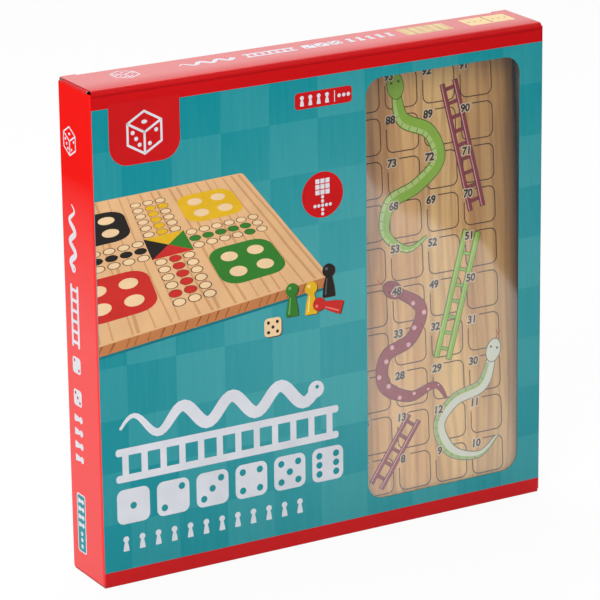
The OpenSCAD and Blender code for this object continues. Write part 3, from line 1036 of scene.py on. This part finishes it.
# Ladders: the outline's width, the rungs' distance and width, and the pale line's width and shift
OUTLINE_W = 0.4
RUNG_STEP, RUNG_W = 9, 1.5
SHINE_W, SHINE_SHIFT = 0.5, 0.7
# Distance from the back's game to the board's edges
BACK_BORDER = 22


def board_sheet(front):
    """The board's front or back face, with its lean taken from the middle stave."""
    mesh = NODES["board_stave_4"].data
    way = -1 if front else 1
    face = max((f for f in mesh.polygons if f.normal.y * way > 0.5), key=lambda f: f.area)
    n = face.normal.copy()
    lean = math.atan2(-way * n.z, way * n.y)
    up = Vector((0, math.sin(lean), math.cos(lean)))
    foot = min(v.co.dot(up) for v in mesh.vertices)
    corner = ALONG_X * (BOARD_LEFT if front else BOARD_RIGHT) * MM
    origin = n * face.center.dot(n) + up * foot + corner
    return Sheet(origin / MM, -way * ALONG_X, up, "board", "pine")


def square_line(u, v):
    """The line round a square, which leaves off at the upper left for the number."""
    a, b, r = u + SQUARE, v + SQUARE, SQUARE_R
    path = [(u + BREAK_U, b)]
    for cu, cv, start in ((a - r, b - r, 90), (a - r, v + r, 0), (u + r, v + r, -90)):
        for i in range(SQUARE_STEPS + 1):
            t = math.radians(start - 90 * i / SQUARE_STEPS)
            path.append((cu + r * math.cos(t), cv + r * math.sin(t)))
    path.append((u, b - BREAK_V))
    return sides(path, LINE_W)


def ladder(p, foot, head, inks, rail, wide, base=0):
    """A ladder from foot to head: rungs under two rails, with a pale line along each rail."""
    dark, fill, pale = inks
    (u0, v0), (u1, v1) = foot, head
    length = math.hypot(u1 - u0, v1 - v0)
    du, dv = (u1 - u0) / length, (v1 - v0) / length
    half = (wide - rail) / 2
    rails, ends, rungs = [], [], []
    past_u, past_v = du * OUTLINE_W, dv * OUTLINE_W
    for off in (-half, half):
        low, high = (u0 - dv * off, v0 + du * off), (u1 - dv * off, v1 + du * off)
        rails.append([low, high])
        ends.append([(low[0] - past_u, low[1] - past_v), (high[0] + past_u, high[1] + past_v)])
    count = int(length / RUNG_STEP)
    for i in range(count):
        t = (i + 0.6) / count
        u, v = u0 + (u1 - u0) * t, v0 + (v1 - v0) * t
        rungs.append([(u - dv * half, v + du * half), (u + dv * half, v - du * half)])
    p.add(base + 5, dark, [sides(q, RUNG_W + 2 * OUTLINE_W) for q in rungs])
    p.add(base + 6, fill, [sides(q, RUNG_W) for q in rungs])
    p.add(base + 7, dark, [sides(q, rail + 2 * OUTLINE_W) for q in ends])
    p.add(base + 8, fill, [sides(q, rail) for q in rails])
    p.add(base + 9, pale, [sides(q, SHINE_W, SHINE_SHIFT) for q in rails])


def snake(p, points, width, inks, base=0):
    """A snake along the points, from its head: maroon ones have spots, and others a belly with ticks."""
    dark, fill, second = inks
    path = smooth(points, 12)
    count = len(path) - 1
    widths = []
    for i in range(count + 1):
        neck = min(1.0, 0.62 + 3.0 * i / count)
        tail = min(1.0, 0.10 + 2.4 * (1 - i / count))
        widths.append(width * neck * tail)

    def beside(i, share):
        nu, nv = left_of(path, i)
        return path[i][0] + nu * share * widths[i], path[i][1] + nv * share * widths[i]

    p.add(base + 1, dark, [sides(path, [w + 1.1 for w in widths])])
    p.add(base + 2, fill, [sides(path, widths)])
    if inks is MAROON:
        spots = []
        for k, i in enumerate(range(8, count - 6, 6)):
            aside = 0.24 if k % 2 else -0.24
            spots.append(disc(*beside(i, aside), widths[i] * 0.2, 14))
        p.add(base + 3, second, spots)
    else:
        belly = widths[4:]
        p.add(base + 3, second, [sides(path[4:], [w * 0.34 for w in belly], [-w * 0.3 for w in belly])])
        ticks = [sides([beside(i, -0.48), beside(i, -0.16)], 0.35) for i in range(10, count - 4, 3)]
        p.add(base + 4, dark, ticks)

    # Plain oval head, two eyes and a forked tongue
    (u0, v0), (u1, v1) = path[3], path[0]
    head = turned(u1, v1, 1, math.atan2(v1 - v0, u1 - u0))
    ahead, long, high, rim_w = width * 0.35, width * 0.95, width * 0.64, 0.55
    turns = [(math.cos(a), math.sin(a)) for a in angles(28)]
    oval = [head(ahead + long * c, high * s) for c, s in turns]
    rim = [head(ahead + (long + rim_w) * c, (high + rim_w) * s) for c, s in turns]
    tongue = [head(width * 1.2, 0), head(width * 1.75, 0)]
    fork = [[head(width * 1.7, 0), head(width * 2.1, k * width * 0.22)] for k in (-1, 1)]
    p.add(base + 1, "ludo_red", [sides(q, 0.6) for q in [tongue] + fork])
    p.add(base + 3, dark, [rim])
    p.add(base + 4, fill, [oval])
    p.add(base + 5, dark, [disc(*head(width * 0.6, k * width * 0.3), width * 0.11, 14) for k in (-1, 1)])


def digits(sheet, name, swell, level, material):
    """All hundred numbers, running to and fro from the lower left, as one piece."""
    half = INK_STEP * (level + 1) / 2
    joined = bmesh.new()
    for n in range(100):
        row, step = divmod(n, 10)
        column = step if row % 2 == 0 else 9 - step
        curve = bpy.data.curves.new("digit_curve", "FONT")
        curve.body = str(n + 1)
        curve.size = DIGIT_H * MM
        curve.shear = DIGIT_SLANT
        curve.align_x = "CENTER"
        curve.align_y = "CENTER"
        curve.offset = swell * MM
        curve.extrude = half * MM
        curve.resolution_u = 3
        writing = bpy.data.objects.new("digit_curve", curve)
        mesh = bpy.data.meshes.new_from_object(writing)
        u, v = MARGIN + column * PITCH + DIGIT_U, MARGIN + row * PITCH + SQUARE - DIGIT_V
        mesh.transform(sheet.matrix(u, v, half))
        joined.from_mesh(mesh)
        bpy.data.objects.remove(writing)
        bpy.data.curves.remove(curve)
        bpy.data.meshes.remove(mesh)
    mesh = bpy.data.meshes.new(name)
    joined.to_mesh(mesh)
    joined.free()
    place_piece(name, mesh, sheet, material)


def print_board():
    sheet = board_sheet(True)
    p = Layers(sheet, "board")
    squares = [(MARGIN + i * PITCH, MARGIN + j * PITCH) for i in range(10) for j in range(10)]
    p.add(0, "line", [square_line(u, v) for u, v in squares])

    # Seen through the window
    snake(p, [(210, 266), (214, 248), (232, 238), (238, 220), (222, 206), (203, 198), (199, 180), (214, 168),
              (228, 174)], 8.5, LEAF)
    ladder(p, (264, 186), (247, 266), MAROON, 2.8, 12)
    ladder(p, (236, 96), (260, 172), LEAF, 3.4, 12.5)
    snake(p, [(205, 143), (222, 130), (214, 112), (196, 104), (194, 86), (212, 76), (230, 80), (238, 70)],
          7.6, MAROON)
    snake(p, [(272, 92), (264, 74), (244, 68), (232, 54), (240, 36), (260, 30), (274, 40)], 7.6, BONE)
    ladder(p, (186, 24), (214, 62), MAROON, 2.6, 11)

    # Behind the card
    snake(p, [(60, 250), (78, 232), (104, 236), (120, 218), (106, 198), (80, 196), (66, 178), (80, 162)],
          8.2, LEAF)
    snake(p, [(148, 190), (138, 170), (150, 152), (140, 132), (118, 130), (108, 114), (122, 100)],
          7.4, MAROON)
    snake(p, [(34, 130), (48, 112), (70, 108), (80, 88), (66, 70), (42, 66), (34, 48)], 7.6, BONE)
    ladder(p, (30, 160), (38, 250), MAROON, 2.8, 12)
    ladder(p, (110, 30), (160, 92), LEAF, 3.2, 12)
    ladder(p, (140, 210), (166, 268), MAROON, 2.8, 12)
    p.make()
    digits(sheet, "board_number_halo", HALO_SWELL, HALO_LEVEL, ink_of("halo"))
    digits(sheet, "board_numbers", DIGIT_SWELL, DIGIT_LEVEL, ink_of("digit"))

    back = Layers(board_sheet(False), "board_back")
    game = BOARD - 2 * BACK_BORDER
    ludo(back, lambda s, t: (BACK_BORDER + game * s, BACK_BORDER + game * t), 0)
    back.make()


make_camera()
make_floor()
make_world()
make_lamps()
dress_cad_nodes()
print_front()
print_lid()
print_side("left", (LEFT, BACK, 0), -ALONG_Y, True)
print_side("right", (RIGHT, FRONT, 0), ALONG_Y, False)
print_back()
print_board()
